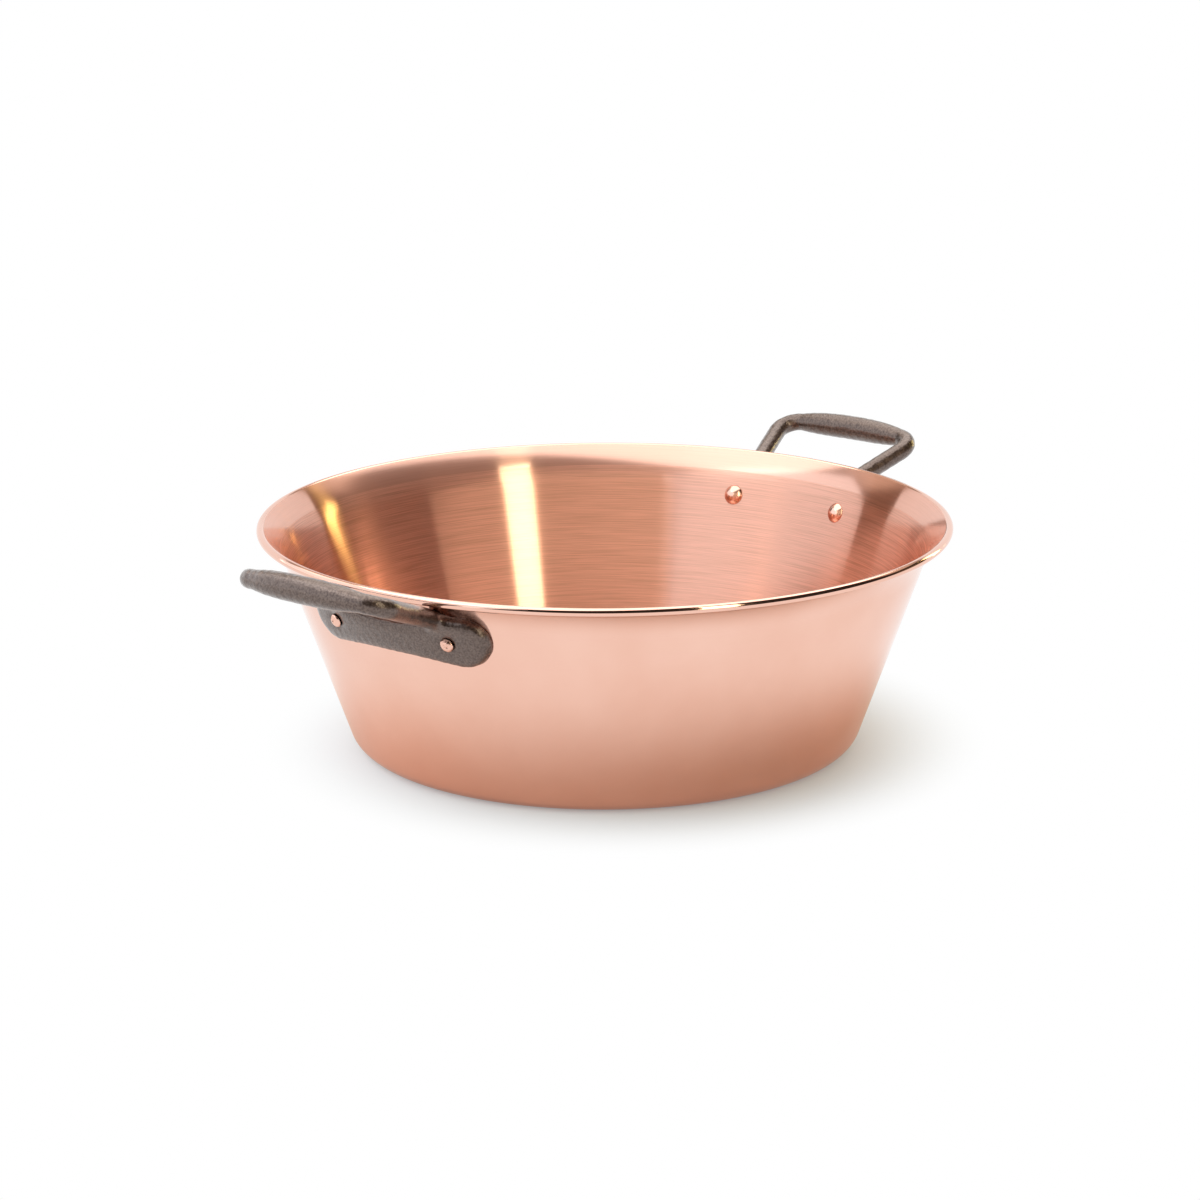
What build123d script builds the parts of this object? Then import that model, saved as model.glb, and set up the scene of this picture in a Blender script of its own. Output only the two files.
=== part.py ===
from build123d import *
import os
from math import acos, asin, atan2, cos, degrees, radians, sin, tan

# Copper jam pan: a spun bowl with a flared, wired rim and two cast loop handles riveted to it.
# Millimetres, +Z up. The origin is the centre of the base's underside; the handles are on +X and -X.

os.makedirs("parts", exist_ok=True)

# Bowl
rim_diameter = 380.0
pan_height = 124.0
base_diameter = 276.7  # where the straight wall, carried down, would meet the base plane
sheet_thickness = 1.2
base_corner_radius = 13.0  # outside of the sheet
flare_lean = 45.0  # degrees from upright
flare_drop = 10.3  # from the rim's top down to where the wall and the flare would meet
flare_bend_radius = 13.0  # outside of the sheet
bead_diameter = 4.6  # the rolled rim, over its wire
curl_gap = 0.15  # from the rolled edge back to the flare
wire_clearance = 0.05  # between the wire and the sheet rolled round it

# Rivets
rivet_drop = 24.8  # from the rim's top down to where a rivet's axis leaves the wall
rivet_inset = 22.0  # from a plate's end to its rivet
shank_diameter = 6.0
rivet_clearance = 0.05  # all round the shank
inner_head_diameter = 11.6
inner_head_height = 3.2
outer_head_diameter = 7.2
outer_head_height = 2.2
outer_head_round = 1.3

# Handle plate
plate_thickness = 6.0
plate_length = 118.0
plate_height = 29.7  # across the round lobe at each end
plate_waist = 19.6  # height at the middle
plate_edge_round = 2.5

# Handle loop
loop_rise = 20.7  # degrees above level
loop_root_lift = 11.0  # from rivet height up to where the loop's plane crosses the wall
loop_reach = 64.9  # from the wall to the middle of the grip, along the loop's plane
leg_spacing = 63.7  # between the legs' axes at the wall
grip_width = 96.0  # between the corners, before they are rounded
grip_bow = 3.9
loop_corner_radius = 11.2
leg_diameter = 10.3
grip_diameter = 14.2
rim_clearance = 0.3  # from a leg to the rim

cut_overrun = 5.0

# Places shared by the sheet, the wire, the rivets and the handles
base_radius = base_diameter / 2
wire_radius = bead_diameter / 2 - sheet_thickness
wire_ring_radius = rim_diameter / 2 - bead_diameter / 2
wire_height = pan_height - bead_diameter / 2
wire_centre = (wire_ring_radius, wire_height)
flare = radians(flare_lean)


def flare_end(depth):
    """Where the flare, at a depth in the sheet, runs into the curl round the wire."""
    tangent_radius = wire_radius + depth
    return (wire_ring_radius - tangent_radius * cos(flare), wire_height + tangent_radius * sin(flare))


# The straight wall leans from the base's edge to the foot of the flare.
wall_top_height = pan_height - flare_drop
wall_top_radius = flare_end(0)[0] - (flare_end(0)[1] - wall_top_height) * tan(flare)
lean = atan2(wall_top_radius - base_radius, wall_top_height)
rivet_height = pan_height - rivet_drop
loop_root_height = rivet_height + loop_root_lift


def wall_radius(height):
    """Outside radius of the straight wall at a height."""
    return base_radius + height * tan(lean)


# The sheet's profile runs from the axis along the base, up the wall and the flare, and ends on a tangent
# to the wire. Each surface of the sheet lies at a depth from its underside.
def sheet_points(depth):
    """Corners of the sheet's profile at a depth, before they are rounded."""
    wall_foot = base_radius - depth / cos(lean)
    curl_radius, curl_height = flare_end(depth)
    bend_height = (wall_foot - curl_radius + curl_height * tan(flare)) / (tan(flare) - tan(lean))
    return [
        (0, depth),
        (wall_foot + depth * tan(lean), depth),
        (wall_foot + bend_height * tan(lean), bend_height),
        (curl_radius, curl_height),
    ]


def sheet_radii(depth):
    """Radii of the base corner and of the flare's bend at a depth."""
    return [base_corner_radius - depth, flare_bend_radius + depth]


# The curl stops where its outer corner is one gap away from the flare.
curl_open_angle = degrees(acos((wire_radius - curl_gap) / (bead_diameter / 2)))
curl_start_angle = 180 - flare_lean
curl_sweep = 360 - curl_open_angle

# Planes on the wall at rivet height: one cuts through the wall, one lies on it, X along +Y.
wall_origin = (wall_radius(rivet_height), 0, rivet_height)
wall_normal = (cos(lean), 0, -sin(lean))
wall_section = Plane(origin=wall_origin, x_dir=wall_normal, z_dir=(0, -1, 0))
wall_tangent = Plane(origin=wall_origin, x_dir=(0, 1, 0), z_dir=wall_normal)
rivet_axis = Axis(wall_origin, wall_normal)
rivet_angle = degrees(asin((plate_length / 2 - rivet_inset) / wall_radius(rivet_height)))


def rivet_place(angle):
    """Location on the wall's outside at rivet height, Z along the wall's normal, turned round the bowl."""
    return Rotation(0, 0, angle) * wall_tangent.location


rivet_places_right = [rivet_place(rivet_angle), rivet_place(-rivet_angle)]
rivet_places_left = [rivet_place(180 + rivet_angle), rivet_place(180 - rivet_angle)]

# A handle's loop lies in its own plane: X along +Y, Y out from the wall and up along the legs.
rise = radians(loop_rise)
loop_origin = (wall_radius(loop_root_height), 0, loop_root_height)
loop_plane = Plane(origin=loop_origin, x_dir=(0, 1, 0), z_dir=(sin(rise), 0, -cos(rise)))
corner_y = loop_reach - grip_bow
root_y = -leg_diameter
root_x = leg_spacing / 2 + root_y * (grip_width - leg_spacing) / 2 / corner_y

# The plate's outline: a round lobe at each end, and above and below them a hollow arc that touches both.
lobe_radius = plate_height / 2
lobe_offset = plate_length / 2 - lobe_radius
hollow_rise = lobe_radius - plate_waist / 2
hollow_radius = (lobe_offset**2 + (plate_waist / 2) ** 2 - lobe_radius**2) / (2 * hollow_rise)
touch_share = hollow_radius / (hollow_radius + lobe_radius)
touch_x = lobe_offset * touch_share
touch_y = (hollow_radius + plate_waist / 2) * (1 - touch_share)
# The round wall falls away from its tangent plane, so the outline sits lower to bring the lobes to
# rivet height.
lobe_angle = asin(lobe_offset / wall_radius(rivet_height))
lobe_drop = wall_radius(rivet_height) * (1 - cos(lobe_angle)) * sin(lean)

# Where the grip's sections stand, as shares of its length, and how late it narrows towards its ends.
grip_station_shares = [0, 0.12, 0.3, 0.5, 0.7, 0.88, 1]
grip_swell_power = 3


def grip_radius(station_share):
    """Radius of the grip's round bar, which swells from the corners to the middle."""
    swell = 1 - abs(2 * station_share - 1) ** grip_swell_power
    return (leg_diameter + (grip_diameter - leg_diameter) * swell) / 2


# Bowl: one sheet, spun, with its edge rolled over the wire and a hole for each rivet
with BuildPart() as pan_body:
    with BuildSketch(Plane.XZ):
        with BuildLine():
            underside = FilletPolyline(*sheet_points(0), radius=sheet_radii(0))
            inside = FilletPolyline(*sheet_points(sheet_thickness), radius=sheet_radii(sheet_thickness))
            curl_back = CenterArc(wire_centre, wire_radius, curl_start_angle, -curl_sweep)
            curl_face = CenterArc(wire_centre, bead_diameter / 2, curl_start_angle, -curl_sweep)
            Line(underside @ 0, inside @ 0)
            Line(curl_back @ 1, curl_face @ 1)
        make_face()
    revolve(axis=Axis.Z)
    with Locations(*rivet_places_right, *rivet_places_left):
        Cylinder(
            shank_diameter / 2 + rivet_clearance, 2 * (sheet_thickness + cut_overrun), mode=Mode.SUBTRACT
        )
pan_body.part.label = "pan_body"
export_step(pan_body.part, "parts/pan_body.step")

# Wire inside the rolled rim
with BuildPart() as rim_wire:
    with BuildSketch(Plane.XZ):
        with Locations(wire_centre):
            Circle(wire_radius - wire_clearance)
    revolve(axis=Axis.Z)
rim_wire.part.label = "rim_wire"
export_step(rim_wire.part, "parts/rim_wire.step")

# The loop's centre line, from the front leg's root round to the back leg's
with BuildLine(loop_plane) as loop_line:
    Line((-root_x, root_y), (-grip_width / 2, corner_y))
    ThreePointArc((-grip_width / 2, corner_y), (0, loop_reach), (grip_width / 2, corner_y))
    Line((grip_width / 2, corner_y), (root_x, root_y))
    fillet(loop_line.vertices().group_by(Axis.Z)[-1], radius=loop_corner_radius)
front_leg, front_corner, grip_line, back_corner, back_leg = loop_line.edges().sort_by(Axis.Y)

# Handle casting: a plate that follows the wall, and a round bar loop that rises from it
with BuildPart() as handle_right:
    # A ring as thick as the plate, cut to the plate's outline
    with BuildSketch(wall_section):
        with Locations(((plate_thickness - cut_overrun) / 2, 0)):
            Rectangle(plate_thickness + cut_overrun, plate_length)
    revolve(axis=Axis.Z)
    with BuildSketch(wall_tangent):
        with BuildLine():
            back_lobe = ThreePointArc(
                (touch_x, touch_y - lobe_drop),
                (plate_length / 2, -lobe_drop),
                (touch_x, -touch_y - lobe_drop),
            )
            lower_hollow = ThreePointArc(
                back_lobe @ 1, (0, -plate_waist / 2 - lobe_drop), (-touch_x, -touch_y - lobe_drop)
            )
            front_lobe = ThreePointArc(
                lower_hollow @ 1, (-plate_length / 2, -lobe_drop), (-touch_x, touch_y - lobe_drop)
            )
            ThreePointArc(front_lobe @ 1, (0, plate_waist / 2 - lobe_drop), back_lobe @ 0)
        make_face()
    extrude(amount=plate_length / 2, both=True, mode=Mode.INTERSECT)
    outer_face = handle_right.faces().filter_by(GeomType.CONE).sort_by(Axis.X)[-1]
    fillet(outer_face.edges(), radius=plate_edge_round)
    # The loop: each leg with its corner, and the swelling grip between them
    for leg_edges in ([front_leg, front_corner], [back_leg, back_corner]):
        leg_path = Wire(leg_edges)
        with BuildSketch(Plane(origin=leg_path @ 0, z_dir=leg_path % 0)):
            Circle(leg_diameter / 2)
        sweep(path=leg_path)
    for station_share in grip_station_shares:
        station = grip_line @ station_share
        with BuildSketch(Plane(origin=station, x_dir=loop_plane.z_dir, z_dir=grip_line % station_share)):
            Circle(grip_radius(station_share))
    loft()
    # The seat: the casting ends on the bowl's outside and stays clear of the rolled rim
    with BuildSketch(Plane.XZ):
        with BuildLine():
            seat = FilletPolyline(*sheet_points(0), radius=sheet_radii(0))
            Polyline(seat @ 1, (0, pan_height), seat @ 0)
        make_face()
        with Locations(wire_centre):
            Circle(bead_diameter / 2 + rim_clearance)
    revolve(axis=Axis.Z, mode=Mode.SUBTRACT)
    with Locations(*rivet_places_right):
        Cylinder(
            shank_diameter / 2 + rivet_clearance, 2 * (plate_thickness + cut_overrun), mode=Mode.SUBTRACT
        )
handle_right.part.label = "handle_right"
export_step(handle_right.part, "parts/handle_right.step")

with BuildPart() as handle_left:
    add(handle_right.part, rotation=(0, 0, 180))
handle_left.part.label = "handle_left"
export_step(handle_left.part, "parts/handle_left.step")

# Rivet on the +X side of the wall: a domed head inside the bowl, and the shank's end peened over the plate
dome_radius = (inner_head_diameter**2 / 4 + inner_head_height**2) / (2 * inner_head_height)
rivet_end = plate_thickness + outer_head_height
with BuildPart() as rivet:
    with BuildSketch(wall_section):
        with BuildLine():
            inner_dome = RadiusArc(
                (-sheet_thickness - inner_head_height, 0),
                (-sheet_thickness, inner_head_diameter / 2),
                dome_radius,
            )
            Polyline(
                inner_dome @ 1,
                (0, inner_head_diameter / 2),
                (0, outer_head_diameter / 2),
                (rivet_end, outer_head_diameter / 2),
                (rivet_end, 0),
                inner_dome @ 0,
            )
        make_face()
        fillet(vertices().group_by(Axis.X)[-1].sort_by(Axis.Y)[-1], radius=outer_head_round)
    revolve(axis=rivet_axis)
    # The wall and the plate take the room between the heads
    with BuildSketch(wall_section):
        with Locations(((plate_thickness - sheet_thickness) / 2, 0)):
            Rectangle(plate_thickness + sheet_thickness, 2 * inner_head_diameter)
    revolve(axis=Axis.Z, mode=Mode.SUBTRACT)
    with BuildSketch(wall_tangent.offset(-sheet_thickness - inner_head_height / 2)):
        Circle(shank_diameter / 2)
    extrude(amount=rivet_end + sheet_thickness + (inner_head_height - outer_head_height) / 2)

rivet_turns = {
    "rivet_right_front": -rivet_angle,
    "rivet_right_back": rivet_angle,
    "rivet_left_front": 180 + rivet_angle,
    "rivet_left_back": 180 - rivet_angle,
}
for rivet_name, rivet_turn in rivet_turns.items():
    with BuildPart() as placed_rivet:
        add(rivet.part, rotation=(0, 0, rivet_turn))
    placed_rivet.part.label = rivet_name
    export_step(placed_rivet.part, f"parts/{rivet_name}.step")
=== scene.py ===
import bmesh
import bpy
import numpy as np
from mathutils import Matrix, Vector


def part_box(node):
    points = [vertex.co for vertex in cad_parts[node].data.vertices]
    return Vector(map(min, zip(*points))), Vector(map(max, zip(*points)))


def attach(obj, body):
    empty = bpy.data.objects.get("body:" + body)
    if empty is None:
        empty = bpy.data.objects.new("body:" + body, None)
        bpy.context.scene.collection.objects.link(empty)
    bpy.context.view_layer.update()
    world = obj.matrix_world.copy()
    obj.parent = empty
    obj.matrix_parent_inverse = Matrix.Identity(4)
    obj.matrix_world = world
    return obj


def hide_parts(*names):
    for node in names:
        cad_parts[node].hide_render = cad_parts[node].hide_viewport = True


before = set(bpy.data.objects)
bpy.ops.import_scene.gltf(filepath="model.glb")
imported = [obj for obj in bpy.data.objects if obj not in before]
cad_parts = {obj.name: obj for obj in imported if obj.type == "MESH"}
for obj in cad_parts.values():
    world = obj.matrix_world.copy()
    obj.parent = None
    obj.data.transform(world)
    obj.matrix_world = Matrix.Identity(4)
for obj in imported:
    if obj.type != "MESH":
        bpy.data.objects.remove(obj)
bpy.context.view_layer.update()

bl_info = {
    "name": "Copper Jam Pan",
    "version": (1, 0, 0),
    "blender": (4, 5, 0),
    "location": "3D View > Sidebar > Jam Pan",
    "description": "A spun copper jam pan with riveted cast iron handles, on a plain studio floor",
    "category": "Add Mesh",
}

MM = 0.001
PAN_LOW, PAN_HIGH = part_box("pan_body")

# Points along the bowl's profile: over the base, its corner, the wall, the bend and the flare, and
# round the rolled rim's face and back.
BASE_ROWS, CORNER_ROWS, WALL_ROWS, BEND_ROWS, FLARE_ROWS = 12, 18, 30, 12, 8
FACE_ROWS, BACK_ROWS = 56, 28
# Points along a rivet's dome and hammered end, and along each ball of a gusset.
DOME_ROWS, END_ROWS, GUSSET_ROWS = 16, 18, 14
# Steps round the axis of each turned piece.
BOWL_STEPS, RIVET_STEPS, GUSSET_STEPS = 320, 48, 40

# A gusset beside each leg runs along the wall, away from the plate's middle, between two points.
# Each is given by how far it lies across from that middle and how high. Both lie out from the wall.
GUSSET_ENDS = ((34 * MM, 110 * MM), (50 * MM, 106.4 * MM))
GUSSET_OUT = 3.4 * MM
# Rounds of smoothing for the casting: all over, along the plate's outer edge, round the legs'
# roots, and all over again.
FIRST_ROUNDS, EDGE_ROUNDS, ROOT_ROUNDS, LAST_ROUNDS = 4, 110, 250, 6
# Distances from the wall at which the rounding of the plate's outer edge sets in, is full, fades
# and ends.
EDGE_STARTS, EDGE_FULL, EDGE_FADES, EDGE_ENDS = 1 * MM, 3 * MM, 6.3 * MM, 7.5 * MM
# Share of a root's reach inside which its fillet is full.
ROOT_CORE = 0.6
# Share of the way to its neighbours' mean that a point moves in a round, and the rounds between
# new normals.
RELAX_SHARE, NORMAL_ROUNDS = 0.7, 20
# The soft lumps: their spacing, how many waves make them, the gain on the waves' mean, their seed.
LUMP_SPACING, LUMP_WAVES, LUMP_GAIN, LUMP_SEED = 5 * MM, 9, 3, 7
# Room left between the casting's back and the bowl.
WALL_ROOM = 0.02 * MM

# Powers on the cosine and sine of a quarter circle that make the hammered end a fuller button.
END_ACROSS, END_UP = 0.85, 0.9
# Share of the hammered end's radius that the shank fills.
SHANK_SHARE = 0.8
# The dents of a hammered end: waves a turn, least and greatest depth as shares of its radius, how
# far it is beaten down as a share of its height, and the first rivet's seed.
DENT_WAVES, DENT_DEPTHS, DENT_SINK, DENT_SEED = (2, 3, 5), (0.04, 0.1), 0.1, 11

# Size of the groove pattern round the bowl. A turn holds 2 pi times as many features, about 25, so
# a mark on the wall is some 40 mm long.
GROOVE_ROUND = 4.0
# Sizes of a cloud of haze on polished copper and of a streak on drawn steel.
HAZE_CLOUD, STEEL_STREAK = 55.56 * MM, 2.5 * MM

# Width of the camera's sensor, in mm.
SENSOR_WIDTH = 36

# Soft boxes: name, middle, the point that it faces, width, height, tint and radiance. Places lie
# right, back and up of the base's middle as the camera stands, in metres.
OVAL_BOX = "overhead box"
SOFT_BOXES = (
    (OVAL_BOX, (-0.12, 0.52, 1.6), (-0.12, 0.52, 0.0), 3.66, 2.06, "#FFFCF8", 2.05),
    ("left box", (-0.61, -0.17, 0.45), (0.01, -0.05, 0.2), 1.3, 0.7, "#F6FAFF", 1.3),
    ("right strip box", (0.72, -0.9, 0.86), (0.72, 0.05, 0.52), 0.31, 1.2, "#FFF3D2", 5.0),
    ("warm lamp", (1.154, 0.892, 0.35), (0.0, 0.0, 0.05), 0.16, 0.6, "#FFE890", 7.0),
    ("warm glow", (1.385, 0.5, 0.3), (0.0, 0.0, 0.05), 0.4, 0.5, "#FFDCA0", 0.1),
    ("low front card", (0.26, -0.12, 0.25), (0.26, 0.0, 0.25), 0.73, 0.22, "#FFE6C8", 0.68),
    ("back lamp", (1.05, 1.1, 0.15), (0.0, 0.0, 0.05), 0.07, 0.2, "#FFE0A0", 0.5),
)

# Half the side of the floor, in metres.
FLOOR_HALF = 12.0
# The floor takes the pan's shade up to the first distance from the pan's axis, and is plain white
# from the second. Under the pan, a small share of it is plain white too.
SHADE_FULL, SHADE_GONE, SHADE_WHITE = 115 * MM, 205 * MM, 0.15
# How far the shade's middle lies to the camera's right, and what mirrored rays add to a distance:
# it is negative, so they meet the shade further out.
SHADE_SHIFT, SHADE_MIRRORED = 10 * MM, -30 * MM

# The surroundings go by two shares of a direction: away from the camera, and upwards.
# The white backdrop rises to its top between two shares away from the camera, with a soft edge.
BACKDROP_FROM, BACKDROP_TO, BACKDROP_TOP, BACKDROP_EDGE = 0.55, 0.7, 0.42, 0.06
# The glow above it sets in between two shares away from the camera. Upwards, it has a foot, is full
# over a band, and fades to its top.
GLOW_FROM, GLOW_TO = 0.3, 0.5
GLOW_FOOT, GLOW_FULL, GLOW_FADES, GLOW_TOP = 0.42, 0.54, 0.66, 0.8


def linear(hex_colour):
    """The linear colour of an sRGB hex value."""
    srgb = np.array([int(hex_colour[i : i + 2], 16) for i in (1, 3, 5)]) / 255
    light = np.where(srgb <= 0.04045, srgb / 12.92, ((srgb + 0.055) / 1.055) ** 2.4)
    return tuple(float(value) for value in light)


def length(name, description, default):
    """A length property, in metres."""
    return bpy.props.FloatProperty(
        name=name, description=description, default=default, min=0, unit="LENGTH"
    )


def angle(name, description, degrees):
    """An angle property, from degrees."""
    return bpy.props.FloatProperty(
        name=name, description=description, default=float(np.radians(degrees)), unit="ROTATION"
    )


def colour(name, description, hex_colour):
    """A colour property, from an sRGB hex value."""
    return bpy.props.FloatVectorProperty(
        name=name,
        description=description,
        default=linear(hex_colour),
        size=3,
        min=0,
        max=1,
        subtype="COLOR",
    )


def strength(name, description, default):
    """A property for a light's strength, where 1 is white."""
    return bpy.props.FloatProperty(
        name=name, description=description, default=default, min=0, soft_max=1, subtype="FACTOR"
    )


class BowlSettings(bpy.types.PropertyGroup):
    """Sizes of the spun bowl."""

    rim_diameter: length("Rim", "Across the pan, over the rolled rim", PAN_HIGH.x - PAN_LOW.x)
    height: length("Height", "From the base to the top of the rim", PAN_HIGH.z - PAN_LOW.z)
    base_diameter: length("Base", "Where the wall, carried down, meets the base plane", 276.7 * MM)
    sheet: length("Sheet", "Thickness of the copper", 1.2 * MM)
    base_corner: length("Base corner", "Radius of the rounded edge of the base", 13 * MM)
    flare_bend: length("Flare bend", "Radius of the bend between wall and flare", 50 * MM)
    flare_drop: length("Flare drop", "From the rim to where wall and flare would meet", 10.3 * MM)
    flare_lean: angle("Flare lean", "Lean of the flare from upright", 45)
    bead: length("Bead", "Diameter of the rolled rim", 4.6 * MM)
    curl_gap: length("Curl gap", "From the rolled edge back to the flare", 0.15 * MM)
    brushed_height: length("Brushed height", "How far up the inside is brushed", 112.8 * MM)


class HandleSettings(bpy.types.PropertyGroup):
    """Sizes of the cast handles' finish."""

    grain: length("Mesh grain", "Edge length of the casting's mesh", 0.55 * MM)
    root_reach: length("Root reach", "How far a leg's casting fillet reaches", 17 * MM)
    root_spacing: length("Root spacing", "Between the middles of the legs at the plate", 67 * MM)
    root_out: length("Root distance", "From the pan's axis to the middle of a leg's root", 182 * MM)
    root_height: length("Root height", "Height of the middle of a leg's root", 112.5 * MM)
    gusset_thick: length("Gusset root", "Thickness of a leg's gusset, at the leg", 9.6 * MM)
    gusset_thin: length("Gusset end", "Thickness of that gusset at its end", 7.6 * MM)
    lump: length("Lump height", "Height of the soft lumps that the sand mould leaves", 0.05 * MM)


class RivetSettings(bpy.types.PropertyGroup):
    """Sizes of the rivets."""

    dome_diameter: length("Dome", "Diameter of the head inside the bowl", 11.6 * MM)
    dome_height: length("Dome height", "Height of the head inside the bowl", 3.2 * MM)
    end_diameter: length("Hammered end", "Diameter of the hammered end on the plate", 7.2 * MM)
    end_height: length("End height", "Height of the hammered end above the plate", 2.2 * MM)
    plate: length("Plate", "Thickness of the handle's plate", 6 * MM)
    drop: length("Drop", "From the rim's top down to where a rivet leaves the wall", 24.8 * MM)
    spacing: length("Spacing", "Between the two rivets of a handle", 74 * MM)


class FinishSettings(bpy.types.PropertyGroup):
    """Colours of the finishes, and sizes of their marks and grain."""

    copper: colour("Copper", "Clean copper seen straight on", "#F9CEBD")
    copper_dark: colour("Brush marks", "Copper in the shade of its brush marks", "#E0AE98")
    copper_deep: colour("Deep copper", "Light that bounced twice in the brush marks", "#DE8868")
    copper_worn: colour("Handled copper", "Copper dulled by use", "#EDB9A4")
    brush_pitch: length("Brush pitch", "Between the brush marks inside the bowl", 0.45 * MM)
    turned_pitch: length("Turning pitch", "Between the turning marks of the flare", 0.5 * MM)
    iron: colour("Iron", "The handles' lacquered iron", "#716057")
    iron_dark: colour("Iron hollows", "The iron between its grains", "#51403A")
    iron_grain: length("Iron grain", "Across a grain of the blasted iron", 1.1 * MM)
    iron_depth: length("Iron depth", "Depth of the hollows between the grains", 0.17 * MM)
    steel: colour("Steel", "The wire in the rim", "#A9A9AB")


class StageSettings(bpy.types.PropertyGroup):
    """The camera, the floor and the light of the room."""

    view_azimuth: angle("Azimuth", "Direction that the camera looks in, from +Y to -X", -51.2)
    view_elevation: angle("Elevation", "Height of the camera above the horizon", 17.55)
    view_distance: length("Distance", "From the camera to the centre of the base", 1865 * MM)
    view_pan: angle("Pan", "Turn of the camera to the left of the base's centre", 0.086)
    view_tilt: angle("Tilt", "Turn of the camera above the base's centre", 2.286)
    view_roll: angle("Roll", "Turn of the camera about its own line of sight", 0.212)
    focal_length: bpy.props.FloatProperty(
        name="Focal length",
        description="Focal length on a 36 mm sensor, in mm",
        default=100.29,
        min=1,
    )
    # The camera's paper is tinted cool to offset the warm light that the copper throws on it. The
    # mirrored floor's warmer, darker tint is painted light: it stands in for that warm bounce light
    # from the copper and for its shade, and every ray but the camera's meets it.
    floor: colour("Floor", "The pale paper, cool enough to stay grey beside the copper", "#E6F4FB")
    floor_painted_bounce: colour("Mirrored floor, painted bounce", "The paper as the copper mirrors it", "#E4C8B4")
    room: colour("Room", "The dim room beyond the white backdrop", "#FFE8D2")
    glow: strength("Glow", "Light of the dim room", 0.03)
    high_glow: strength("High glow", "Light of the room above the backdrop", 0.7)


def add_node(tree, kind, inputs=None, **settings):
    """A new node with its settings, and its inputs as values or as the sockets that feed them."""
    node = tree.nodes.new(kind)
    for name, value in settings.items():
        setattr(node, name, value)
    for name, value in (inputs or {}).items():
        if isinstance(value, bpy.types.NodeSocket):
            tree.links.new(value, node.inputs[name])
        else:
            node.inputs[name].default_value = value
    return node


def new_material(name):
    """An empty material with its node tree and output."""
    material = bpy.data.materials.new(name)
    material.use_nodes = True
    tree = material.node_tree
    tree.nodes.clear()
    return material, tree, add_node(tree, "ShaderNodeOutputMaterial")


def turned_grooves(tree, pitch):
    """Noise that runs round the bowl like the marks of a spinning lathe.

    The pattern's place is the direction from the axis, times the pattern's size round the bowl,
    and the distance along the sheet's profile over the grooves' pitch."""
    place = add_node(tree, "ShaderNodeTexCoord").outputs["Object"]
    fields = {0: place, 1: (1, 1, 0)}
    flat = add_node(tree, "ShaderNodeVectorMath", fields, operation="MULTIPLY").outputs[0]
    way = add_node(tree, "ShaderNodeVectorMath", {0: flat}, operation="NORMALIZE").outputs[0]
    fields = {0: way, "Scale": GROOVE_ROUND}
    way = add_node(tree, "ShaderNodeVectorMath", fields, operation="SCALE").outputs[0]
    along = add_node(tree, "ShaderNodeAttribute", attribute_name="along").outputs["Fac"]
    fields = {0: along, 1: 1 / pitch}
    rows = add_node(tree, "ShaderNodeMath", fields, operation="MULTIPLY").outputs[0]
    rows = add_node(tree, "ShaderNodeCombineXYZ", {"Z": rows}).outputs[0]
    where = add_node(tree, "ShaderNodeVectorMath", {0: way, 1: rows}, operation="ADD").outputs[0]
    fields = {"Vector": where, "Scale": 1.0, "Detail": 3.0, "Roughness": 0.6}
    return add_node(tree, "ShaderNodeTexNoise", fields).outputs["Fac"]


def brushed_copper(finish, name, pitch, contrast, roughness, smear, scatter):
    """Copper, spun and brushed with grit: round grooves that smear light up and down the wall.

    The smear is the share of light that the grooves' steep sides throw far up and down. Light that
    bounces twice in a groove comes out redder, in every direction: that share is the scatter. Real
    grit marks are too fine to show, so the grooves are drawn coarser."""
    material, tree, output = new_material(name)
    grooves = turned_grooves(tree, pitch)
    fields = {"Value": grooves, "From Min": 0.35, "From Max": 0.65, "To Min": 1 - contrast}
    lines = add_node(tree, "ShaderNodeMapRange", fields).outputs[0]
    fields = {0: lines, 6: (*finish.copper_dark, 1), 7: (*finish.copper, 1)}
    tone = add_node(tree, "ShaderNodeMix", fields, data_type="RGBA").outputs[2]
    tangent = add_node(tree, "ShaderNodeTangent", direction_type="RADIAL", axis="Z").outputs[0]
    fields = {
        "Base Color": tone,
        "Metallic": 1.0,
        "Roughness": roughness,
        "Anisotropic": 1.0,
        "Anisotropic Rotation": 0.25,
        "Tangent": tangent,
    }
    mirror = add_node(tree, "ShaderNodeBsdfPrincipled", fields).outputs[0]
    fields = {"Color": tone, "Roughness": 0.34, "Anisotropy": 0.82, "Tangent": tangent}
    steep = add_node(tree, "ShaderNodeBsdfAnisotropic", fields, distribution="MULTI_GGX").outputs[0]
    once = add_node(tree, "ShaderNodeMixShader", {0: smear, 1: mirror, 2: steep}).outputs[0]
    fields = {0: lines, 1: scatter}
    deep = add_node(tree, "ShaderNodeMath", fields, operation="MULTIPLY").outputs[0]
    fields = {"Color": (*finish.copper_deep, 1)}
    twice = add_node(tree, "ShaderNodeBsdfDiffuse", fields).outputs[0]
    mix = add_node(tree, "ShaderNodeMixShader", {0: deep, 1: once, 2: twice}).outputs[0]
    tree.links.new(mix, output.inputs[0])
    return material


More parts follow.
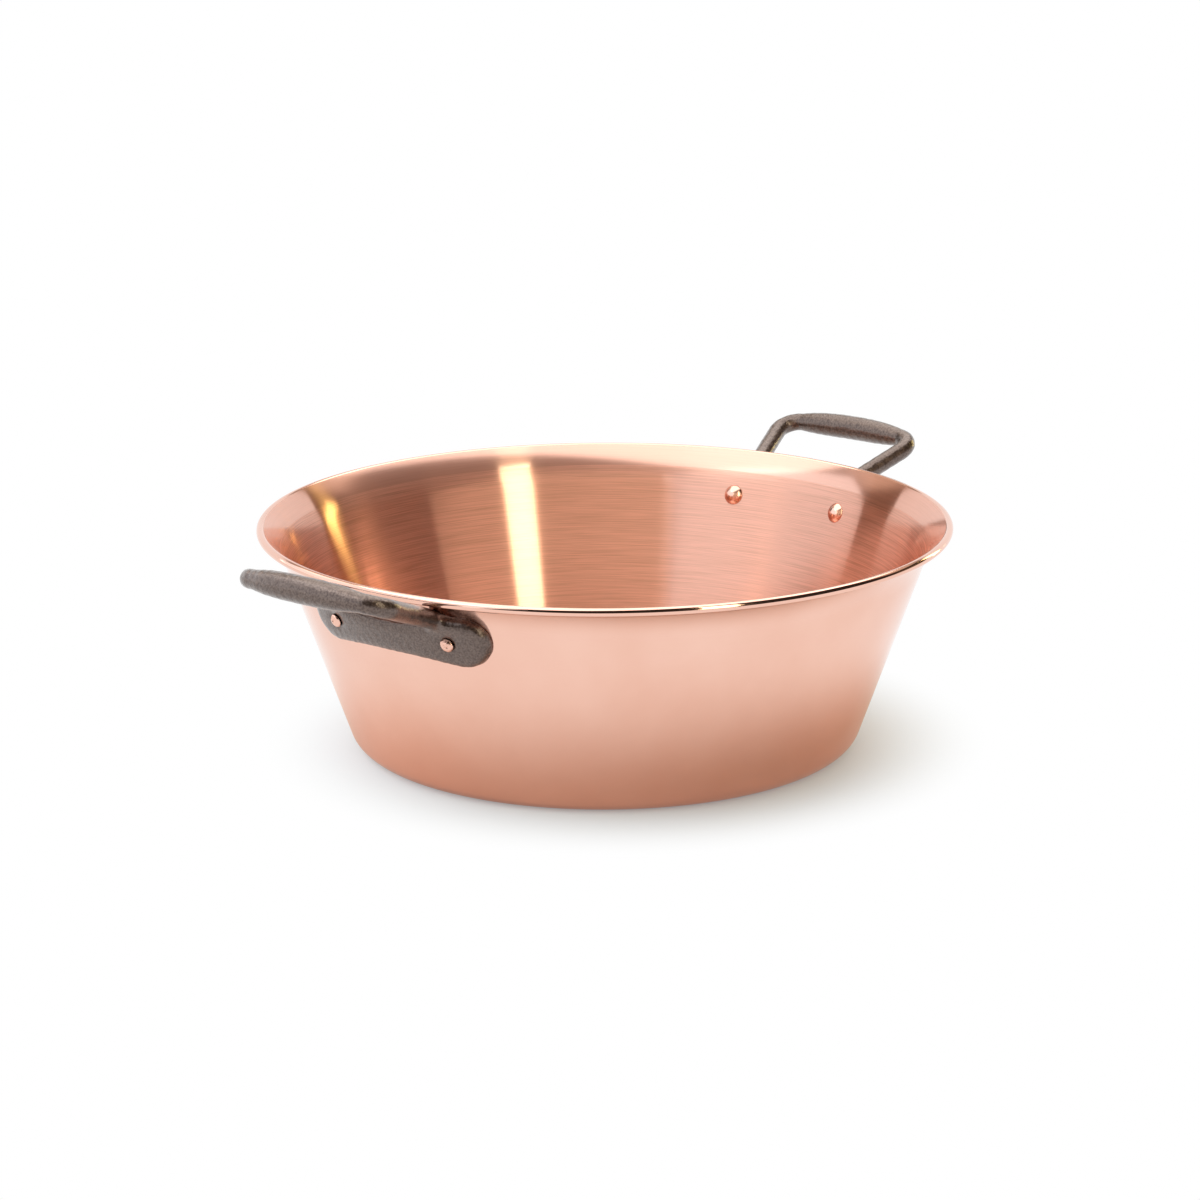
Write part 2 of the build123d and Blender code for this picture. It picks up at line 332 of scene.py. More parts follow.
def polished_copper(finish, name, roughness, haze):
    """Copper, buffed, rubbed satin or tumbled: a soft mirror, with a faint haze from use.

    The haze lies in clouds that are wide and soft, so that none stands out as a spot."""
    material, tree, output = new_material(name)
    place = add_node(tree, "ShaderNodeTexCoord").outputs["Object"]
    fields = {"Vector": place, "Scale": 1 / HAZE_CLOUD, "Detail": 4.0}
    cloud = add_node(tree, "ShaderNodeTexNoise", fields).outputs["Fac"]
    fields = {0: cloud, 6: (*finish.copper, 1), 7: (*finish.copper_worn, 1)}
    tone = add_node(tree, "ShaderNodeMix", fields, data_type="RGBA").outputs[2]
    fields = {
        "Value": cloud,
        "From Min": 0.35,
        "From Max": 0.7,
        "To Min": roughness,
        "To Max": roughness + haze,
    }
    rough = add_node(tree, "ShaderNodeMapRange", fields).outputs[0]
    fields = {"Base Color": tone, "Metallic": 1.0, "Roughness": rough}
    shader = add_node(tree, "ShaderNodeBsdfPrincipled", fields).outputs[0]
    tree.links.new(shader, output.inputs[0])
    return material


def cast_iron(finish):
    """Cast iron, blasted and lacquered: a pebbled grain that glints, under a thin clear sheen.

    The grain is drawn a little coarser than the real one, so that it shows."""
    material, tree, output = new_material("Cast iron, blasted and lacquered")
    place = add_node(tree, "ShaderNodeTexCoord").outputs["Object"]
    fields = {"Vector": place, "Scale": 1 / finish.iron_grain, "Detail": 2.0, "Roughness": 0.5}
    grain = add_node(tree, "ShaderNodeTexNoise", fields).outputs["Fac"]
    fields = {"Value": grain, "From Min": 0.35, "From Max": 0.65}
    share = add_node(tree, "ShaderNodeMapRange", fields).outputs[0]
    fields = {0: share, 6: (*finish.iron_dark, 1), 7: (*finish.iron, 1)}
    tone = add_node(tree, "ShaderNodeMix", fields, data_type="RGBA").outputs[2]
    fields = {"Height": grain, "Strength": 1.0, "Distance": finish.iron_depth}
    bump = add_node(tree, "ShaderNodeBump", fields).outputs[0]
    fields = {
        "Base Color": tone,
        "Metallic": 0.8,
        "Roughness": 0.34,
        "Normal": bump,
        "Coat Weight": 0.9,
        "Coat Roughness": 0.2,
        "Coat Normal": bump,
    }
    shader = add_node(tree, "ShaderNodeBsdfPrincipled", fields).outputs[0]
    tree.links.new(shader, output.inputs[0])
    return material


def drawn_steel(finish):
    """Steel wire, drawn: a plain grey metal with faint streaks."""
    material, tree, output = new_material("Steel, drawn")
    place = add_node(tree, "ShaderNodeTexCoord").outputs["Object"]
    fields = {"Vector": place, "Scale": 1 / STEEL_STREAK}
    streaks = add_node(tree, "ShaderNodeTexNoise", fields).outputs["Fac"]
    fields = {"Value": streaks, "To Min": 0.3, "To Max": 0.5}
    rough = add_node(tree, "ShaderNodeMapRange", fields).outputs[0]
    fields = {"Base Color": (*finish.steel, 1), "Metallic": 1.0, "Roughness": rough}
    shader = add_node(tree, "ShaderNodeBsdfPrincipled", fields).outputs[0]
    tree.links.new(shader, output.inputs[0])
    return material


def unit(vector):
    """A vector over its own length."""
    return vector / np.linalg.norm(vector)


def rim_centre(bowl):
    """Middle of the rolled rim, as radius and height."""
    return np.array((bowl.rim_diameter / 2 - bowl.bead / 2, bowl.height - bowl.bead / 2))


def flare_end(bowl, depth):
    """Where the flare runs into the rolled rim, at a depth from the sheet's underside.

    It is the rim's middle and a spoke square to the flare, as long as the wire's radius and the
    depth."""
    spoke = bowl.bead / 2 - bowl.sheet + depth
    return rim_centre(bowl) + spoke * np.array((-np.cos(bowl.flare_lean), np.sin(bowl.flare_lean)))


def wall_lean(bowl):
    """Lean of the straight wall from upright: from the base's edge to the foot of the flare."""
    end = flare_end(bowl, 0)
    top = bowl.height - bowl.flare_drop
    top_radius = end[0] - (end[1] - top) * np.tan(bowl.flare_lean)
    return np.arctan2(top_radius - bowl.base_diameter / 2, top)


def wall_point(bowl, height):
    """Outside of the straight wall at a height, as radius and height."""
    return np.array((bowl.base_diameter / 2 + height * np.tan(wall_lean(bowl)), height))


def corner_arc(before, corner, after, radius, count):
    """Arc of a radius that touches both lines through a corner.

    Its middle lies on the lines' bisector, and each point is the start and end spokes, weighted by
    sines."""
    into, out = unit(before - corner), unit(after - corner)
    half = np.arccos(into @ out) / 2
    middle = corner + unit(into + out) * radius / np.sin(half)
    spokes = np.array([into, out]) * radius / np.tan(half) + corner - middle
    sweep = np.pi - 2 * half
    share = np.linspace(0, 1, count)
    weights = np.stack([np.sin((1 - share) * sweep), np.sin(share * sweep)], 1) / np.sin(sweep)
    return middle + weights @ spokes


def sheet_side(bowl, depth):
    """One surface of the sheet, from the axis to the rolled rim, as radius and height.

    It is the base line, the base corner's arc, the wall line, the bend's arc and the flare line,
    all at a depth from the sheet's underside."""
    lean, flare = wall_lean(bowl), bowl.flare_lean
    end = flare_end(bowl, depth)
    foot = bowl.base_diameter / 2 - depth / np.cos(lean)
    bend = (foot - end[0] + end[1] * np.tan(flare)) / (np.tan(flare) - np.tan(lean))
    axis = np.array((0, depth))
    corner = np.array((foot + depth * np.tan(lean), depth))
    bend_corner = np.array((foot + bend * np.tan(lean), bend))
    base_arc = corner_arc(axis, corner, bend_corner, bowl.base_corner - depth, CORNER_ROWS)
    bend_arc = corner_arc(corner, bend_corner, end, bowl.flare_bend + depth, BEND_ROWS)
    return np.concatenate(
        [
            np.linspace(axis, base_arc[0], BASE_ROWS, endpoint=False),
            base_arc,
            np.linspace(base_arc[-1], bend_arc[0], WALL_ROWS)[1:-1],
            bend_arc,
            np.linspace(bend_arc[-1], end, FLARE_ROWS)[1:],
        ]
    )


def rim_curl(bowl, radius, count):
    """Arc of the rolled rim at a radius from the wire's middle, clockwise from the flare's end.

    It goes nearly once round, and stops where the rolled edge is the curl's gap from the flare."""
    wire = bowl.bead / 2 - bowl.sheet
    opening = np.arccos((wire - bowl.curl_gap) / (bowl.bead / 2))
    turn = np.pi - bowl.flare_lean - np.linspace(0, 2 * np.pi - opening, count)
    return rim_centre(bowl) + radius * np.stack([np.cos(turn), np.sin(turn)], 1)


def revolved(name, profile, around, face_slots=None):
    """A closed surface: each point of a profile (radius, height) turned about Z by equal steps.

    The profile starts and ends on the axis, where the surface closes with a fan of triangles. The
    point attribute along holds the distance along the profile."""
    turn = np.linspace(0, 2 * np.pi, around, endpoint=False)
    radius, height = profile[1:-1, 0, None], profile[1:-1, 1, None]
    ring = np.stack([radius * np.cos(turn), radius * np.sin(turn), height + 0 * turn], 2)
    poles = [(0, 0, profile[0, 1]), (0, 0, profile[-1, 1])]
    places = np.concatenate([ring.reshape(-1, 3), poles])
    rows = len(profile) - 2
    here = np.arange(around)
    beside = np.roll(here, -1)
    row = np.arange(rows - 1)[:, None] * around
    next_row = row + around
    quads = np.stack([row + here, next_row + here, next_row + beside, row + beside], 2)
    first_pole, last_pole = rows * around + 0 * here, rows * around + 1 + 0 * here
    last = (rows - 1) * around
    first_fan = np.stack([first_pole, here, beside], 1)
    last_fan = np.stack([last + here, last_pole, last + beside], 1)
    faces = quads.reshape(-1, 4).tolist() + first_fan.tolist() + last_fan.tolist()
    mesh = bpy.data.meshes.new(name)
    mesh.from_pydata(places.tolist(), [], faces)
    steps = np.linalg.norm(np.diff(profile, axis=0), axis=1)
    distance = np.concatenate([[0], np.cumsum(steps)])
    distance = np.concatenate([np.repeat(distance[1:-1], around), distance[[0, -1]]])
    mesh.attributes.new("along", "FLOAT", "POINT").data.foreach_set("value", distance)
    if face_slots is not None:
        fan_slots = np.repeat(face_slots[[0, -1]], around)
        per_face = np.concatenate([np.repeat(face_slots[1:-1], around), fan_slots])
        mesh.polygons.foreach_set("material_index", per_face.astype(np.int32))
    mesh.shade_smooth()
    return mesh


def show(name, mesh, materials):
    """An object of a finished mesh, at the origin, with its materials."""
    piece = bpy.data.objects.new(name, mesh)
    bpy.context.scene.collection.objects.link(piece)
    for material in materials:
        mesh.materials.append(material)
    return piece


class PAN_OT_bowl(bpy.types.Operator):
    """Make the spun bowl with its flare and rolled rim, and finish the wire in the rim"""

    bl_idname = "pan.bowl"
    bl_label = "Bowl"

    def execute(self, context):
        bowl, finish = context.scene.pan_bowl, context.scene.pan_finish
        inside = sheet_side(bowl, bowl.sheet)
        face = rim_curl(bowl, bowl.bead / 2, FACE_ROWS)
        back = rim_curl(bowl, bowl.bead / 2 - bowl.sheet, BACK_ROWS)
        underside = sheet_side(bowl, 0)
        profile = np.concatenate([inside, face[1:], back[::-1], underside[::-1][1:]])
        middle = (profile[1:] + profile[:-1]) / 2
        share = np.arange(len(middle)) / len(middle)
        inside_share = len(inside) / len(profile)
        brushed = (share < inside_share) & (middle[:, 1] < bowl.brushed_height)
        outside = share > (len(inside) + len(face)) / len(profile)
        bead = (share >= inside_share) & ~outside
        # A face of the profile that is none of these is the flare.
        slots = np.select([brushed, bead, outside], [0, 2, 3], 1)
        mesh = revolved("bowl", profile, BOWL_STEPS, slots)
        piece = show("bowl", mesh, self.finishes(finish))
        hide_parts("pan_body")
        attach(piece, "root")
        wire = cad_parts["rim_wire"]
        wire.data.materials.clear()
        wire.data.materials.append(drawn_steel(finish))
        return {"FINISHED"}

    def finishes(self, finish):
        """The finishes of the brushed inside, the flare, the rolled rim and the outside."""
        return [
            # Strong marks and a wide smear: light stands on the wall in tall soft bands.
            brushed_copper(
                finish,
                "Copper, spun and brushed",
                pitch=finish.brush_pitch,
                contrast=1.0,
                roughness=0.15,
                smear=0.5,
                scatter=0.3,
            ),
            # Faint marks and less smear: the flare shines more than the wall below it.
            brushed_copper(
                finish,
                "Copper, spun and finely turned",
                pitch=finish.turned_pitch,
                contrast=0.25,
                roughness=0.12,
                smear=0.35,
                scatter=0.16,
            ),
            # Nearly a mirror: a bright line and a dark line run round the rim.
            polished_copper(finish, "Copper, spun and buffed", roughness=0.06, haze=0.05),
            # A little softer: the outside mirrors the floor and the backdrop without hard edges.
            polished_copper(finish, "Copper, spun and rubbed satin", roughness=0.08, haze=0.05),
        ]


def evaluated_mesh(piece):
    """The mesh of an object with its modifiers carried out."""
    graph = bpy.context.evaluated_depsgraph_get()
    return bpy.data.meshes.new_from_object(piece.evaluated_get(graph), depsgraph=graph)


def vectors_of(items, field):
    """One vector field of a mesh's points or normals, as rows of three."""
    values = np.zeros(len(items) * 3, np.float32)
    items.foreach_get(field, values)
    return values.reshape(-1, 3)


def soft_lumps(places, size, height):
    """Soft lumps all over a surface: sine waves of random direction and phase.

    The lump at a point is the height times the waves' mean, times a gain."""
    random = np.random.default_rng(LUMP_SEED)
    directions = random.normal(size=(LUMP_WAVES, 3))
    directions *= (2 * np.pi / size) / np.linalg.norm(directions, axis=1)[:, None]
    phases = random.uniform(0, 2 * np.pi, LUMP_WAVES)
    return height * np.sin(places @ directions.T + phases).mean(1)[:, None] * LUMP_GAIN


def ramp(value, low, high):
    """A smooth step from 0 at low to 1 at high: three squares of the share less two cubes."""
    share = np.clip((value - low) / (high - low), 0, 1)
    return share * share * (3 - 2 * share)


def relax(mesh, rounds, weight, way):
    """Move each point by its weight towards the mean of its neighbours, round by round.

    A way of 1 moves only outwards along the normal and fills creases, as a casting's fillet does.
    A way of -1 moves only inwards along it and rounds sharp edges. A way of 0 moves freely."""
    edges = np.zeros(len(mesh.edges) * 2, np.int32)
    mesh.edges.foreach_get("vertices", edges)
    starts = np.concatenate([edges[::2], edges[1::2]])
    ends = np.concatenate([edges[1::2], edges[::2]])
    moved = np.flatnonzero(weight > 0)
    row = np.full(len(weight), -1)
    row[moved] = np.arange(len(moved))
    starts, ends = row[starts[row[starts] >= 0]], ends[row[starts] >= 0]
    count = np.bincount(starts, minlength=len(moved))[:, None]
    places = vectors_of(mesh.vertices, "co").astype(float)
    for number in range(rounds):
        if number % NORMAL_ROUNDS == 0:
            mesh.vertices.foreach_set("co", places.ravel().astype(np.float32))
            mesh.update()
            normals = vectors_of(mesh.vertex_normals, "vector")[moved]
        sums = [np.bincount(starts, places[ends, axis], len(moved)) for axis in range(3)]
        move = np.stack(sums, 1) / count - places[moved]
        if way:
            out = (move * normals).sum(1)[:, None]
            move = np.clip(out * way, 0, None) * way * normals
        places[moved] += RELAX_SHARE * weight[moved, None] * move
    mesh.vertices.foreach_set("co", places.ravel().astype(np.float32))
    mesh.update()


class PAN_OT_handles(bpy.types.Operator):
    """Make both cast handles, with a casting fillet where each leg leaves its plate"""

    bl_idname = "pan.handles"
    bl_label = "Handles"

    def execute(self, context):
        bowl, handle = context.scene.pan_bowl, context.scene.pan_handle
        iron = cast_iron(context.scene.pan_finish)
        for side, node in ((1, "handle_right"), (-1, "handle_left")):
            mesh = self.rough_casting(bowl, handle, side, node)
            self.smooth_casting(mesh, bowl, handle, side)
            piece = show(node + "_casting", mesh, [iron])
            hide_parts(node)
            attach(piece, "root")
        return {"FINISHED"}

    def rough_casting(self, bowl, handle, side, node):
        """The CAD casting and its two gussets, as one skin of even mesh."""
        welded = bmesh.new()
        welded.from_mesh(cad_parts[node].data)
        bmesh.ops.remove_doubles(welded, verts=welded.verts, dist=MM / 1000)
        for turn in (-1, 1):
            ends = [self.off_wall(bowl, side, turn * across, high) for across, high in GUSSET_ENDS]
            gusset = self.gusset(*ends, handle.gusset_thick / 2, handle.gusset_thin / 2)
            welded.from_mesh(gusset)
        mesh = bpy.data.meshes.new(node)
        welded.to_mesh(mesh)
        welded.free()
        draft = show(node + "_draft", mesh, [])
        remesh = draft.modifiers.new("Even mesh", "REMESH")
        remesh.mode, remesh.voxel_size = "VOXEL", handle.grain
        mesh = evaluated_mesh(draft)
        bpy.data.objects.remove(draft)
        return mesh

    def smooth_casting(self, mesh, bowl, handle, side):
        """Round the plate's outer edge, fill round the legs' roots, and leave the mould's lumps.

        What then lies behind the wall is moved straight out from the axis, back to the wall."""
        places = vectors_of(mesh.vertices, "co")
        everywhere = np.ones(len(places))
        relax(mesh, FIRST_ROUNDS, everywhere, 0)
        from_wall = self.distance_from_wall(bowl, places)
        outer_edge = ramp(from_wall, EDGE_STARTS, EDGE_FULL)
        outer_edge = outer_edge * (1 - ramp(from_wall, EDGE_FADES, EDGE_ENDS))
        relax(mesh, EDGE_ROUNDS, outer_edge, -1)
        across = handle.root_spacing / 2
        out, high = side * handle.root_out, handle.root_height
        roots = np.array([(out, -across, high), (out, across, high)])
        distance = np.linalg.norm(places[:, None] - roots[None], axis=2).min(1)
        near_root = ramp(-distance, -handle.root_reach, -ROOT_CORE * handle.root_reach)
        relax(mesh, ROOT_ROUNDS, near_root, 1)
        relax(mesh, LAST_ROUNDS, everywhere, 0)
        places = vectors_of(mesh.vertices, "co")
        normals = vectors_of(mesh.vertex_normals, "vector")
        places += soft_lumps(places, LUMP_SPACING, handle.lump) * normals
        radius = np.hypot(places[:, 0], places[:, 1])
        wall = sheet_side(bowl, 0)
        wall = wall[wall[:, 1] > bowl.base_corner]
        nearest = np.interp(places[:, 2], wall[:, 1], wall[:, 0]) + WALL_ROOM
        behind = np.clip(nearest - radius, 0, None)
        behind[places[:, 2] > wall[-1, 1]] = 0
        places[:, :2] *= 1 + (behind / radius)[:, None]
        mesh.vertices.foreach_set("co", places.ravel())
        mesh.update()
        mesh.shade_smooth()

    def off_wall(self, bowl, side, across, height):
        """Point just out from the wall, at a height, and across from the middle of the plate."""
        radius = wall_point(bowl, height)[0] + GUSSET_OUT
        return Vector((side * np.sqrt(radius**2 - across**2), across, height))

    def gusset(self, start, end, thick, thin):
        """Two balls and the cone that touches both, from one end to the other."""
        reach = (end - start).length
        lean = np.arcsin((thick - thin) / reach)
        swing = np.linspace(0, 1, GUSSET_ROWS)
        low = np.pi - swing * (np.pi / 2 + lean)
        low = np.stack([thick * np.sin(low), thick * np.cos(low)], 1)
        high = (np.pi / 2 - lean) * (1 - swing)
        high = np.stack([thin * np.sin(high), reach + thin * np.cos(high)], 1)
        profile = np.concatenate([low, high])[::-1]
        profile[[0, -1], 0] = 0
        mesh = revolved("gusset", profile, GUSSET_STEPS)
        turned = (end - start).to_track_quat("Z", "Y").to_matrix().to_4x4()
        mesh.transform(Matrix.Translation(start) @ turned)
        return mesh

    def distance_from_wall(self, bowl, places):
        """Distance of points from the outside of the bowl's straight wall, square to it."""
        lean = wall_lean(bowl)
        radius = np.hypot(places[:, 0], places[:, 1])
        level = radius - bowl.base_diameter / 2 - places[:, 2] * np.tan(lean)
        return level * np.cos(lean)


class PAN_OT_rivets(bpy.types.Operator):
    """Make the four rivets, each with a domed head inside and a hammered end on the plate"""

    bl_idname = "pan.rivets"
    bl_label = "Rivets"

    def execute(self, context):
        bowl, rivet = context.scene.pan_bowl, context.scene.pan_rivet
        # Softer than the rim: the heads catch round highlights.
        name = "Copper, headed and tumbled"
        material = polished_copper(context.scene.pan_finish, name, roughness=0.2, haze=0.1)
        lean = wall_lean(bowl)
        origin = wall_point(bowl, bowl.height - rivet.drop)
        swing = np.arcsin(rivet.spacing / 2 / origin[0])
        turns = {
            "rivet_right_front": -swing,
            "rivet_right_back": swing,
            "rivet_left_front": np.pi + swing,
            "rivet_left_back": np.pi - swing,
        }
        for number, (node, turn) in enumerate(turns.items()):
            mesh = self.rivet_mesh(bowl, rivet, node, number)
            place = (
                Matrix.Rotation(turn, 4, "Z")
                @ Matrix.Translation((origin[0], 0, origin[1]))
                @ Matrix.Rotation(np.pi / 2 + lean, 4, "Y")
            )
            mesh.transform(place)
            piece = show(node + "_copper", mesh, [material])
            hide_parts(node)
            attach(piece, "root")
        return {"FINISHED"}

    def rivet_mesh(self, bowl, rivet, name, number):
        """A rivet along Z, from the dome's top at the bottom to the hammered end.

        The dome is a cap of a sphere. The end is a rounded button: a quarter circle whose cosine
        and sine are raised to powers, dented by sine waves of its turn."""
        dome, cap = rivet.dome_diameter / 2, rivet.dome_height
        sphere = (dome**2 + cap**2) / (2 * cap)
        swing = np.linspace(0, np.arcsin(dome / sphere), DOME_ROWS)
        bottom = -bowl.sheet - cap
        head = np.stack([sphere * np.sin(swing), bottom + sphere * (1 - np.cos(swing))], 1)
        end = rivet.end_diameter / 2
        quarter = np.linspace(0, np.pi / 2, END_ROWS)
        across, up = np.cos(quarter) ** END_ACROSS, np.sin(quarter) ** END_UP
        button = np.stack([end * across, rivet.plate + rivet.end_height * up], 1)
        shank = end * SHANK_SHARE
        shank = np.array([(shank, -bowl.sheet), (shank, rivet.plate), (end, rivet.plate)])
        profile = np.concatenate([head, shank, button])
        profile[-1, 0] = 0
        mesh = revolved(name, profile, RIVET_STEPS)
        places = vectors_of(mesh.vertices, "co")
        random = np.random.default_rng(DENT_SEED + number)
        turn = np.arctan2(places[:, 1], places[:, 0])
        high = np.clip((places[:, 2] - rivet.plate) / rivet.end_height, 0, 1)
        dents = sum(
            random.uniform(*DENT_DEPTHS) * np.sin(wave * turn + random.uniform(0, 2 * np.pi))
            for wave in DENT_WAVES
        )
        places[:, :2] *= (1 + dents * np.sqrt(high))[:, None]
        places[:, 2] -= rivet.end_height * high * np.clip(dents + DENT_SINK, 0, 1)
        mesh.vertices.foreach_set("co", places.ravel())
        mesh.update()
        return mesh


class PAN_OT_stage(bpy.types.Operator):
    """Make the camera, the floor, the lights and the pale surroundings"""

    bl_idname = "pan.stage"
    bl_label = "Stage"

    def execute(self, context):
        scene, stage = context.scene, context.scene.pan_stage
        self.camera(scene, stage)
        self.floor(stage)
        self.lamps(scene, stage)
        self.surroundings(scene, stage)
        scene.view_settings.view_transform = "Standard"
        return {"FINISHED"}

    def direction(self, stage, turn, elevation):
        """Unit vector from the pan at an angle to the right of the camera and an elevation."""
        azimuth = stage.view_azimuth + turn
        flat = np.cos(elevation)
        return Vector((np.sin(azimuth) * flat, -np.cos(azimuth) * flat, np.sin(elevation)))

    def camera(self, scene, stage):
        """The camera: straight at the middle of the base, and then turned by tilt, pan and roll."""
        back = self.direction(stage, 0, stage.view_elevation)
        look = (-back).to_track_quat("-Z", "Y").to_matrix().to_4x4()
        aim = (
            Matrix.Rotation(stage.view_tilt, 4, "X")
            @ Matrix.Rotation(stage.view_pan, 4, "Y")
            @ Matrix.Rotation(-stage.view_roll, 4, "Z")
        )
        data = bpy.data.cameras.new("camera")
        data.sensor_width, data.lens = SENSOR_WIDTH, stage.focal_length
        camera = bpy.data.objects.new("camera", data)
        camera.matrix_world = Matrix.Translation(back * stage.view_distance) @ look @ aim
        scene.collection.objects.link(camera)
        scene.camera = camera

    def floor(self, stage):
        """A flat square sheet of matt paper: it takes a soft shade near the pan, and further out it
        is plain white. Mirrored rays meet warmer, darker paper than the camera sees: painted warm
        bounce light from the copper, with its shade."""
        corners = np.array([(-1, -1, 0), (1, -1, 0), (1, 1, 0), (-1, 1, 0)]) * FLOOR_HALF
        mesh = bpy.data.meshes.new("floor")
        mesh.from_pydata(corners.tolist(), [], [(0, 1, 2, 3)])
        material, tree, output = new_material("Paper, matt white")
        place = add_node(tree, "ShaderNodeTexCoord").outputs["Object"]
        fields = {0: place, 1: self.direction(stage, np.pi / 2, 0) * SHADE_SHIFT}
        place = add_node(tree, "ShaderNodeVectorMath", fields, operation="SUBTRACT").outputs[0]
        reach = add_node(tree, "ShaderNodeVectorMath", {0: place}, operation="LENGTH")
        rays = add_node(tree, "ShaderNodeLightPath").outputs
        fields = {0: rays["Is Glossy Ray"], 1: SHADE_MIRRORED}
        mirrored = add_node(tree, "ShaderNodeMath", fields, operation="MULTIPLY").outputs[0]
        fields = {0: reach.outputs["Value"], 1: mirrored}
        reach = add_node(tree, "ShaderNodeMath", fields, operation="ADD").outputs[0]
        fields = {
            "Value": reach,
            "From Min": SHADE_FULL,
            "From Max": SHADE_GONE,
            "To Min": SHADE_WHITE,
            "To Max": 1.0,
        }
        far = add_node(tree, "ShaderNodeMapRange", fields, interpolation_type="SMOOTHSTEP")
        seen = rays["Is Camera Ray"]
        for ray in ("Is Glossy Ray", "Is Transmission Ray"):
            fields = {0: seen, 1: rays[ray]}
            seen = add_node(tree, "ShaderNodeMath", fields, operation="MAXIMUM").outputs[0]
        fields = {0: far.outputs[0], 1: seen}
        share = add_node(tree, "ShaderNodeMath", fields, operation="MULTIPLY").outputs[0]
        # Painted bounce light: rays other than the camera's meet the paper in the warm, darker
        # tint.
        fields = {0: rays["Is Camera Ray"], 6: (*stage.floor_painted_bounce, 1), 7: (*stage.floor, 1)}
        tint = add_node(tree, "ShaderNodeMix", fields, data_type="RGBA").outputs[2]
        paper = add_node(tree, "ShaderNodeBsdfDiffuse", {"Color": tint}).outputs[0]
        fields = {"Color": (1, 1, 1, 1), "Strength": 1.0}
        white = add_node(tree, "ShaderNodeEmission", fields).outputs[0]
        mix = add_node(tree, "ShaderNodeMixShader", {0: share, 1: paper, 2: white}).outputs[0]
        tree.links.new(mix, output.inputs[0])
        show("floor", mesh, [material])

    def lamps(self, scene, stage):
        """The soft boxes, as flat lamps that the camera doesn't see. Their width lies level.

        A lamp's power is its radiance times its area times pi. The overhead box is oval. The low
        front card hangs over the bowl's near half and faces the far wall."""
        right = np.array((np.cos(stage.view_azimuth), np.sin(stage.view_azimuth), 0))
        axes = np.array((right, (-right[1], right[0], 0), (0, 0, 1)))
        for name, middle, aim, width, height, tint, radiance in SOFT_BOXES:
            place = Vector(np.array(middle) @ axes)
            facing = Vector((np.array(aim) - middle) @ axes)
            data = bpy.data.lights.new(name, "AREA")
            oval = name == OVAL_BOX
            data.shape, data.size, data.size_y = "ELLIPSE" if oval else "RECTANGLE", width, height
            data.color = linear(tint)
            data.energy = radiance * width * height * np.pi * (np.pi / 4 if oval else 1)
            lamp = bpy.data.objects.new(name, data)
            turned = facing.to_track_quat("-Z", "Y").to_matrix().to_4x4()
            lamp.matrix_world = Matrix.Translation(place) @ turned
            lamp.visible_camera = False
            scene.collection.objects.link(lamp)

    def surroundings(self, scene, stage):
        """A dim room with a white backdrop behind the pan and a low white band at the sides.

        A warmer glow stands over the backdrop. The camera sees plain white all round."""
        world = bpy.data.worlds.new("studio")
        scene.world = world
        world.use_nodes = True
        tree = world.node_tree
        tree.nodes.clear()
        way = add_node(tree, "ShaderNodeTexCoord").outputs["Generated"]
        fields = {0: way, 1: -self.direction(stage, 0, 0)}
        behind = add_node(tree, "ShaderNodeVectorMath", fields, operation="DOT_PRODUCT")
        behind = behind.outputs["Value"]
        height = add_node(tree, "ShaderNodeSeparateXYZ", {0: way}).outputs["Z"]
        soft = {"interpolation_type": "SMOOTHSTEP"}
        fields = {
            "Value": behind,
            "From Min": BACKDROP_FROM,
            "From Max": BACKDROP_TO,
            "To Max": BACKDROP_TOP,
        }
        top = add_node(tree, "ShaderNodeMapRange", fields, **soft).outputs[0]
        fields = {0: height, 1: top}
        above = add_node(tree, "ShaderNodeMath", fields, operation="SUBTRACT").outputs[0]
        fields = {
            "Value": behind,
            "From Min": GLOW_FROM,
            "From Max": GLOW_TO,
            "To Min": stage.glow,
            "To Max": stage.high_glow,
        }
        room = add_node(tree, "ShaderNodeMapRange", fields, **soft).outputs[0]
        fields = {
            "Value": height,
            "From Min": GLOW_FADES,
            "From Max": GLOW_TOP,
            "To Min": room,
            "To Max": stage.glow,
        }
        room = add_node(tree, "ShaderNodeMapRange", fields, **soft).outputs[0]
        fields = {
            "Value": height,
            "From Min": GLOW_FOOT,
            "From Max": GLOW_FULL,
            "To Min": stage.glow,
            "To Max": room,
        }
        room = add_node(tree, "ShaderNodeMapRange", fields, **soft).outputs[0]
        fields = {"Value": above, "From Max": BACKDROP_EDGE, "To Min": 1.0, "To Max": room}
        dim = add_node(tree, "ShaderNodeMapRange", fields, **soft).outputs[0]
        white = add_node(tree, "ShaderNodeLightPath").outputs["Is Camera Ray"]
        fields = {0: dim, 1: white}
        level = add_node(tree, "ShaderNodeMath", fields, operation="MAXIMUM").outputs[0]
        fields = {"Value": above, "From Max": BACKDROP_EDGE}
        warm = add_node(tree, "ShaderNodeMapRange", fields, **soft).outputs[0]
        fields = {0: warm, 1: white}
        warm = add_node(tree, "ShaderNodeMath", fields, operation="SUBTRACT", use_clamp=True)
        fields = {0: warm.outputs[0], 6: (1, 1, 1, 1), 7: (*stage.room, 1)}
        tint = add_node(tree, "ShaderNodeMix", fields, data_type="RGBA").outputs[2]
        fields = {"Color": tint, "Strength": level}
        light = add_node(tree, "ShaderNodeBackground", fields).outputs[0]
        output = add_node(tree, "ShaderNodeOutputWorld")
        tree.links.new(light, output.inputs[0])


class PAN_PT_panel(bpy.types.Panel):
    """Sizes, colours and steps of the jam pan"""

    bl_idname = "PAN_PT_panel"
    bl_label = "Jam Pan"
    bl_space_type = "VIEW_3D"
    bl_region_type = "UI"
    bl_category = "Jam Pan"

    def draw(self, context):
        for operator in OPERATORS:
            self.layout.operator(operator.bl_idname)
        for name, group in SETTINGS.items():
            box = self.layout.box()
            for field in group.__annotations__:
                box.prop(getattr(context.scene, name), field)


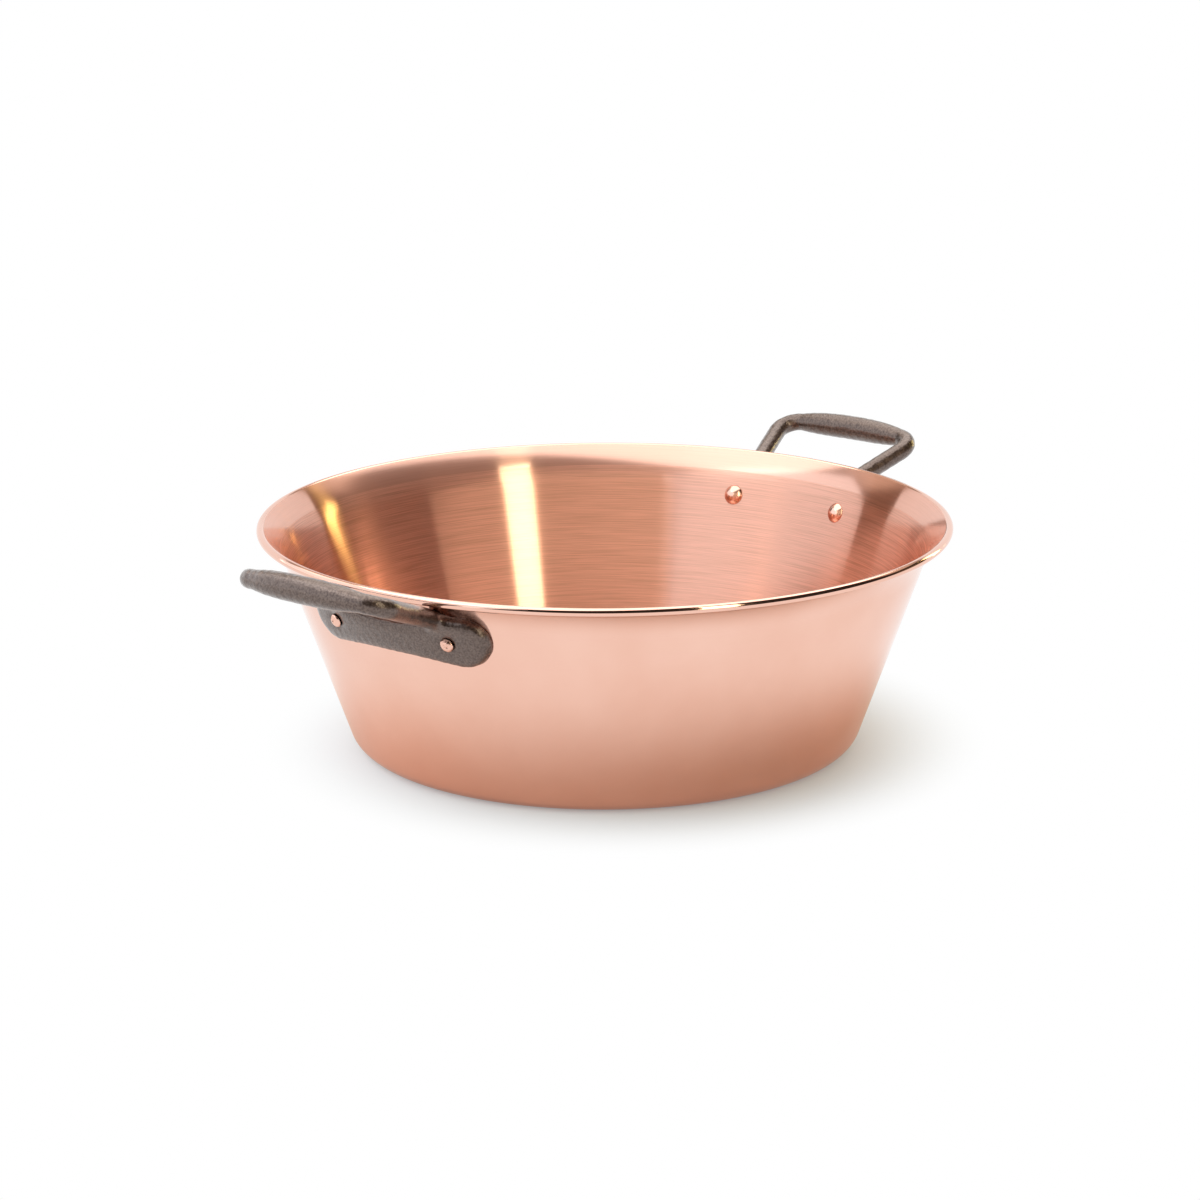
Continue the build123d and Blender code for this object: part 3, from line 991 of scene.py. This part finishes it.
SETTINGS = {
    "pan_bowl": BowlSettings,
    "pan_handle": HandleSettings,
    "pan_rivet": RivetSettings,
    "pan_finish": FinishSettings,
    "pan_stage": StageSettings,
}
OPERATORS = (PAN_OT_bowl, PAN_OT_handles, PAN_OT_rivets, PAN_OT_stage)


def register():
    for group in (*SETTINGS.values(), *OPERATORS, PAN_PT_panel):
        bpy.utils.register_class(group)
    for name, group in SETTINGS.items():
        setattr(bpy.types.Scene, name, bpy.props.PointerProperty(type=group))


def unregister():
    for name in SETTINGS:
        delattr(bpy.types.Scene, name)
    for group in (PAN_PT_panel, *reversed(OPERATORS), *reversed(SETTINGS.values())):
        bpy.utils.unregister_class(group)


def main():
    """Make everything in order."""
    register()
    bpy.ops.pan.stage()
    bpy.ops.pan.bowl()
    bpy.ops.pan.handles()
    bpy.ops.pan.rivets()


if __name__ == "__main__":
    main()
